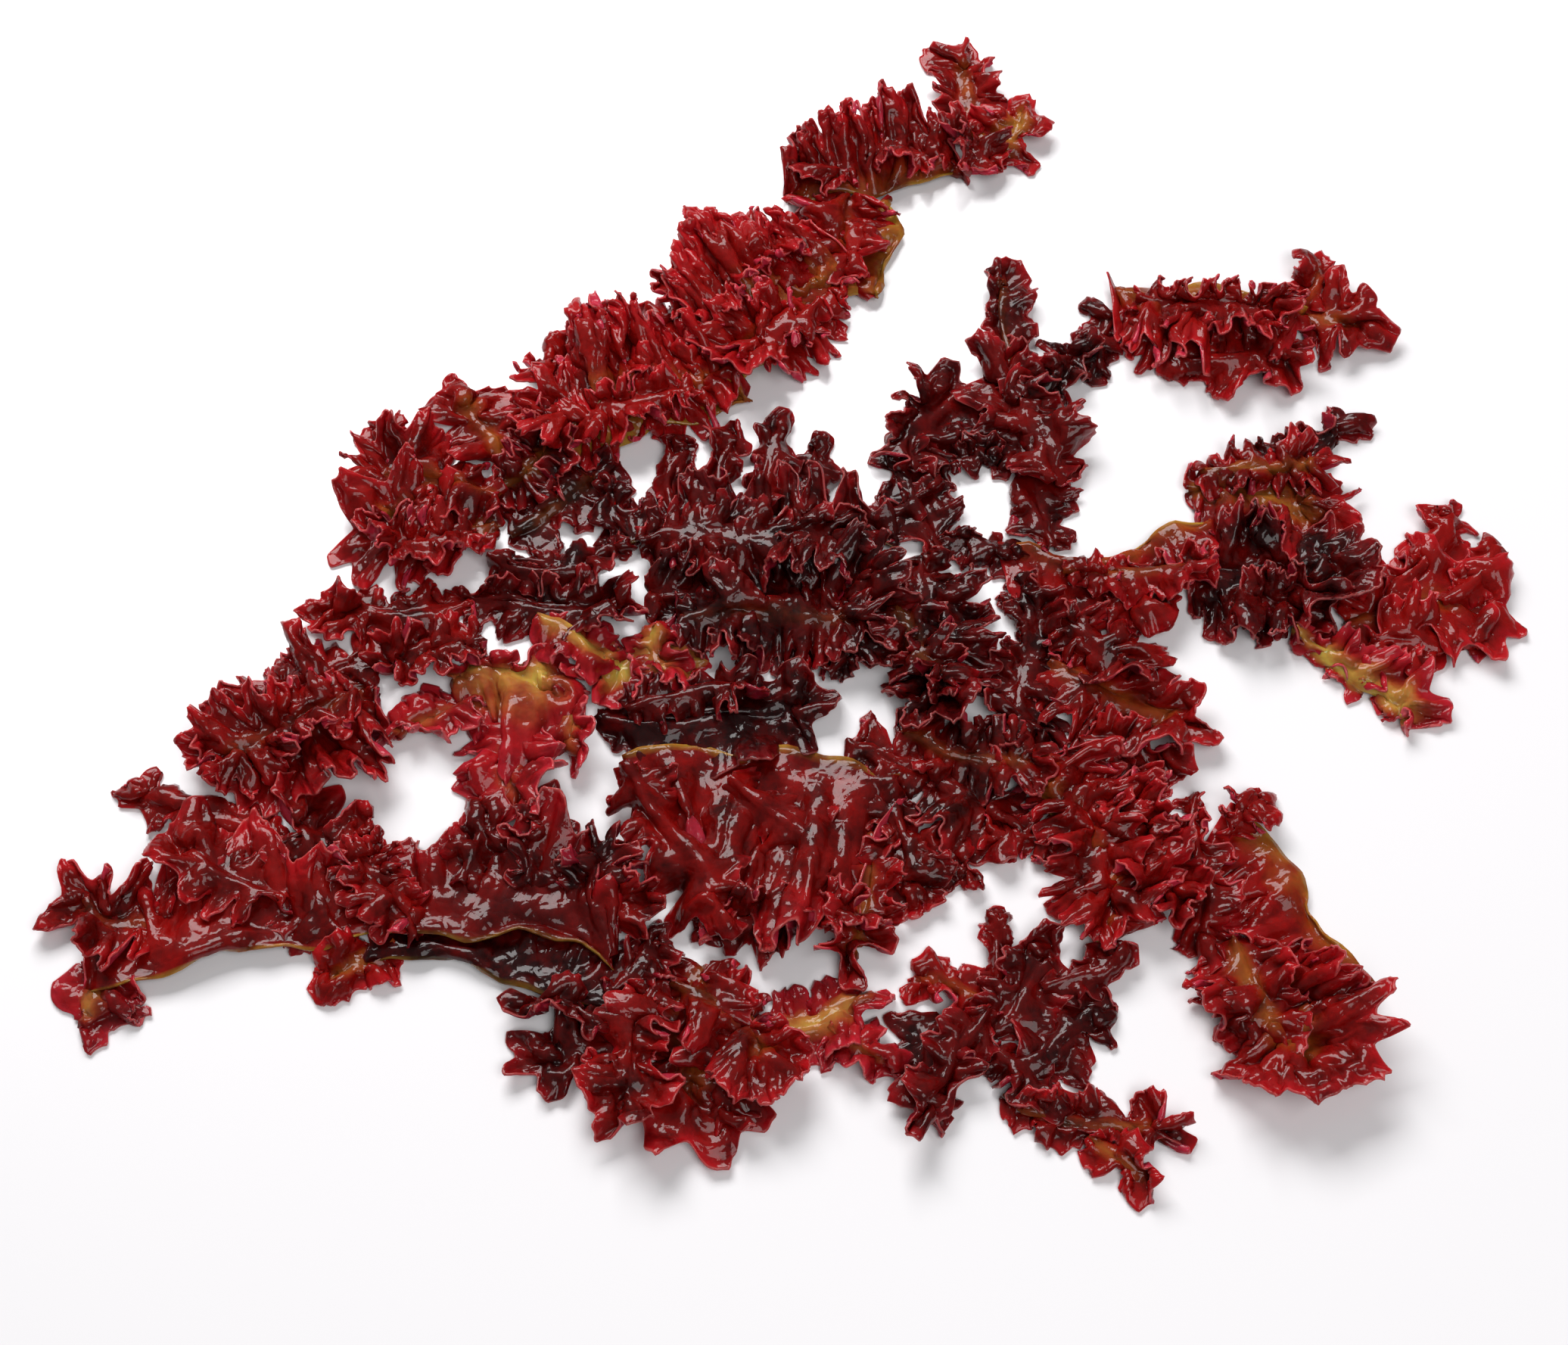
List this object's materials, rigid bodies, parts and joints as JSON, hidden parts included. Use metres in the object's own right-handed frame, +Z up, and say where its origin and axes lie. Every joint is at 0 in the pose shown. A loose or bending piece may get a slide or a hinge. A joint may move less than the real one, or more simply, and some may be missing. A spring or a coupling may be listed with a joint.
{
  "type": "red seaweed",
  "caption": "Frilled dark red seaweed laid out flat: ribbons and blades with ruffled, toothed margins spread out in arms from a tangled heart.",
  "frame": {"origin": "centre of the spread's bounding box, on the surface it lies on", "axes": "+X along the spread's longest extent, towards the outer fan of the eastern arm; +Y towards the tip of the long northern arm; +Z up, the thin way of the spread"},
  "size_m": [0.2836, 0.2542, 0.0152],
  "materials": {
    "wine_frond": "wet, glossy wine-red seaweed blade, thin enough to let light through at its frilled margin",
    "dark_frond": "wet, glossy blade of a darker, almost black red, where tissue lies in layers",
    "amber_frond": "wet blade that turns amber and olive yellow towards its base or cut edge"
  },
  "bodies": {
    "root": {"summit_fan": "wine_frond", "summit_ruffle": "wine_frond", "summit_turn": "wine_frond", "long_arm_upper": "wine_frond", "long_arm_lower": "wine_frond", "west_fan": "wine_frond", "west_plume": "wine_frond", "west_horn": "wine_frond", "west_hook": "dark_frond", "crown": "dark_frond", "north_east_lobe": "dark_frond", "north_east_blade": "dark_frond", "north_east_spur": "dark_frond", "far_ribbon": "wine_frond", "far_ribbon_end": "wine_frond", "east_band": "wine_frond", "east_sprig": "dark_frond", "east_ruffle": "wine_frond", "east_under_ruffle": "dark_frond", "outer_fan": "wine_frond", "outer_lobe": "amber_frond", "inner_ruffle": "dark_frond", "middle_ruffle": "dark_frond", "east_blade": "wine_frond", "south_east_ruffle": "wine_frond", "south_east_link": "wine_frond", "south_east_blade": "wine_frond", "south_east_end": "wine_frond", "low_sprig_left": "dark_frond", "low_sprig_top": "dark_frond", "low_sprig_blade": "dark_frond", "low_sprig_end": "wine_frond", "low_sprig_leaf": "wine_frond", "low_band": "amber_frond", "low_fan": "wine_frond", "low_ruffle": "dark_frond", "dark_blade": "dark_frond", "glossy_blade": "dark_frond", "south_west_blade": "wine_frond", "south_west_tip": "wine_frond", "south_west_horn": "wine_frond", "south_west_tail": "amber_frond", "south_west_spur": "wine_frond", "west_arm_ruffle": "wine_frond", "west_arm_link": "wine_frond", "amber_blade": "amber_frond", "amber_strip": "amber_frond", "crown_link": "dark_frond", "folded_blade": "dark_frond", "heart_ruffle": "dark_frond", "heart_dark_blade": "dark_frond", "heart_blade": "wine_frond", "heart_low_ruffle": "wine_frond", "heart_east_ruffle": "wine_frond", "heart_east_blade": "wine_frond"}
  },
  "joints": []
}
